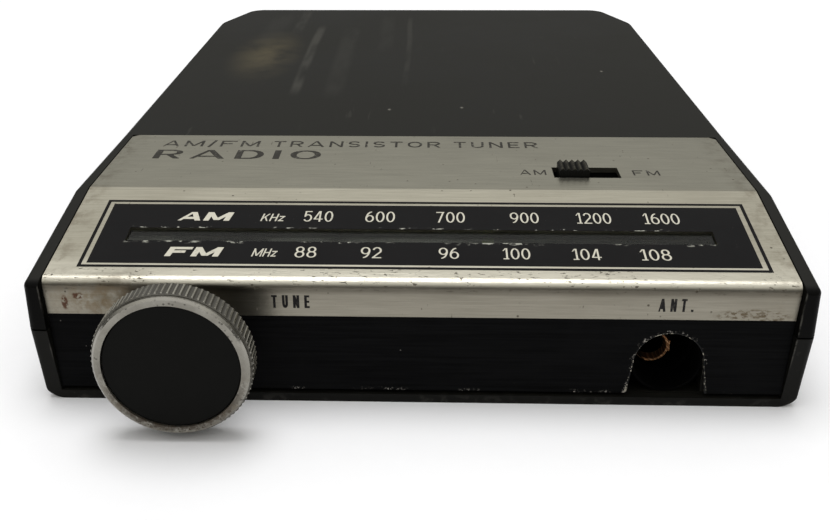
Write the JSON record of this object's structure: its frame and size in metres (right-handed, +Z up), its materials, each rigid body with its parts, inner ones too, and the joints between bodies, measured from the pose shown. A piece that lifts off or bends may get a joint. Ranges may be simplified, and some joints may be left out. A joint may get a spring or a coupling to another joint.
{
  "type": "cartridge radio tuner",
  "caption": "AM/FM radio tuner in a flat cartridge-shaped case, with a sloping dial, tuning knob, band switch and aerial socket.",
  "frame": {"origin": "middle of the whole object's outline, on the surface that it stands on", "axes": "+X to the right seen from the front, +Y from the knob to the end that goes into the player, +Z up"},
  "size_m": [0.1022, 0.1568, 0.0234],
  "materials": {
    "case_plastic": "satin, warm near-black, scuffed",
    "plate_aluminium": "brushed across the width, worn, with black printed dial and black lower front",
    "lens_plastic": "smoked clear plastic",
    "pointer_plastic": "yellow-green",
    "knob_metal": "dull knurled metal",
    "knob_inlay": "satin black disc",
    "button_plastic": "black, ridged",
    "bare_steel": "plated steel",
    "bare_brass": "turned brass",
    "contact_bronze": "tarnished bronze",
    "cord_fibre": "braided dial cord",
    "white_nylon": "off-white moulding",
    "dark_bakelite": "black moulding",
    "board_phenolic": "brown board",
    "tinned_can": "tinned",
    "core_ferrite": "dark grey ferrite",
    "coil_copper": "enamelled copper",
    "capacitor_sleeve": "blue sleeve",
    "resistor_body": "tan",
    "ceramic_disc": "ochre disc",
    "transistor_epoxy": "black",
    "head_metal": "polished",
    "battery_jacket": "plain dark red jacket",
    "lead_insulation": "red and black wire"
  },
  "bodies": {
    "case": {"upper_shell": "case_plastic", "lower_shell": "case_plastic", "case_screws": "bare_steel", "front_plate": "plate_aluminium", "dial_lens": "lens_plastic", "dial_backplate": "dark_bakelite", "shaft_bushing": "bare_brass", "bushing_nut": "bare_brass", "shaft_bracket": "bare_steel", "dial_cord": "cord_fibre", "pulley_posts": "bare_steel", "tuning_capacitor": "white_nylon", "switch_frame": "tinned_can", "circuit_board": "board_phenolic", "if_transformers": "tinned_can", "tuning_cores": "core_ferrite", "ferrite_rod": "core_ferrite", "antenna_coil": "coil_copper", "rod_holders": "dark_bakelite", "electrolytic_capacitors": "capacitor_sleeve", "transistors": "transistor_epoxy", "resistors": "resistor_body", "ceramic_capacitors": "ceramic_disc", "antenna_socket": "dark_bakelite", "socket_contact": "contact_bronze", "coupling_head": "head_metal", "head_bracket": "bare_steel", "battery": "battery_jacket", "battery_connector": "dark_bakelite", "battery_leads": "lead_insulation", "plunger_spring": "bare_steel", "power_switch": "dark_bakelite"},
    "tuning_knob": {"tuning_knob": "knob_metal", "knob_inlay": "knob_inlay", "tuning_shaft": "bare_steel", "shaft_clip": "bare_steel"},
    "dial_drum": {"dial_drum": "white_nylon", "cord_spring": "bare_steel", "capacitor_spindle": "bare_brass"},
    "idler_left": {"idler_pulley_left": "white_nylon"},
    "idler_right": {"idler_pulley_right": "white_nylon"},
    "pointer": {"dial_pointer": "pointer_plastic"},
    "band_switch": {"switch_button": "button_plastic"},
    "battery_door": {"battery_door": "case_plastic"},
    "power_plunger": {"power_plunger": "white_nylon"}
  },
  "joints": [
    {"name": "tuning_turn", "type": "hinge", "parent": "case", "child": "tuning_knob", "pos_m": [-0.03015, -0.0686, 0.011], "axis": [0, 1, 0], "range_deg": [-636, 636]},
    {"name": "pointer_slide", "type": "slide", "parent": "case", "child": "pointer", "axis": [1, 0, 0], "range_m": [-0.025, 0.025]},
    {"name": "drum_turn", "type": "hinge", "parent": "case", "child": "dial_drum", "pos_m": [-0.006, -0.0356, 0.013], "axis": [0, 0, 1], "range_deg": [-90, 90]},
    {"name": "idler_left_turn", "type": "hinge", "parent": "case", "child": "idler_left", "pos_m": [-0.0435, -0.05535, 0.01325], "axis": [0, 0, 1], "range_deg": [-478, 478]},
    {"name": "idler_right_turn", "type": "hinge", "parent": "case", "child": "idler_right", "pos_m": [0.0435, -0.05535, 0.01325], "axis": [0, 0, 1], "range_deg": [-478, 478]},
    {"name": "band_slide", "type": "slide", "parent": "case", "child": "band_switch", "axis": [1, 0, 0], "range_m": [0, 0.004]},
    {"name": "battery_door_swing", "type": "hinge", "parent": "case", "child": "battery_door", "pos_m": [-0.0393, 0.04415, 0.00075], "axis": [0, 1, 0], "range_deg": [0, 90]},
    {"name": "power_press", "type": "slide", "parent": "case", "child": "power_plunger", "axis": [0, -1, 0], "range_m": [0, 0.002], "stiffness_N_per_m": 150, "springref_m": -0.002, "deforming": ["plunger_spring"]}
  ],
  "couplings": [
    {"joint": "pointer_slide", "follows": "tuning_turn", "m_per_rad": 0.00225},
    {"joint": "drum_turn", "follows": "tuning_turn", "ratio": 0.14062},
    {"joint": "idler_left_turn", "follows": "tuning_turn", "ratio": 0.75},
    {"joint": "idler_right_turn", "follows": "tuning_turn", "ratio": 0.75}
  ]
}
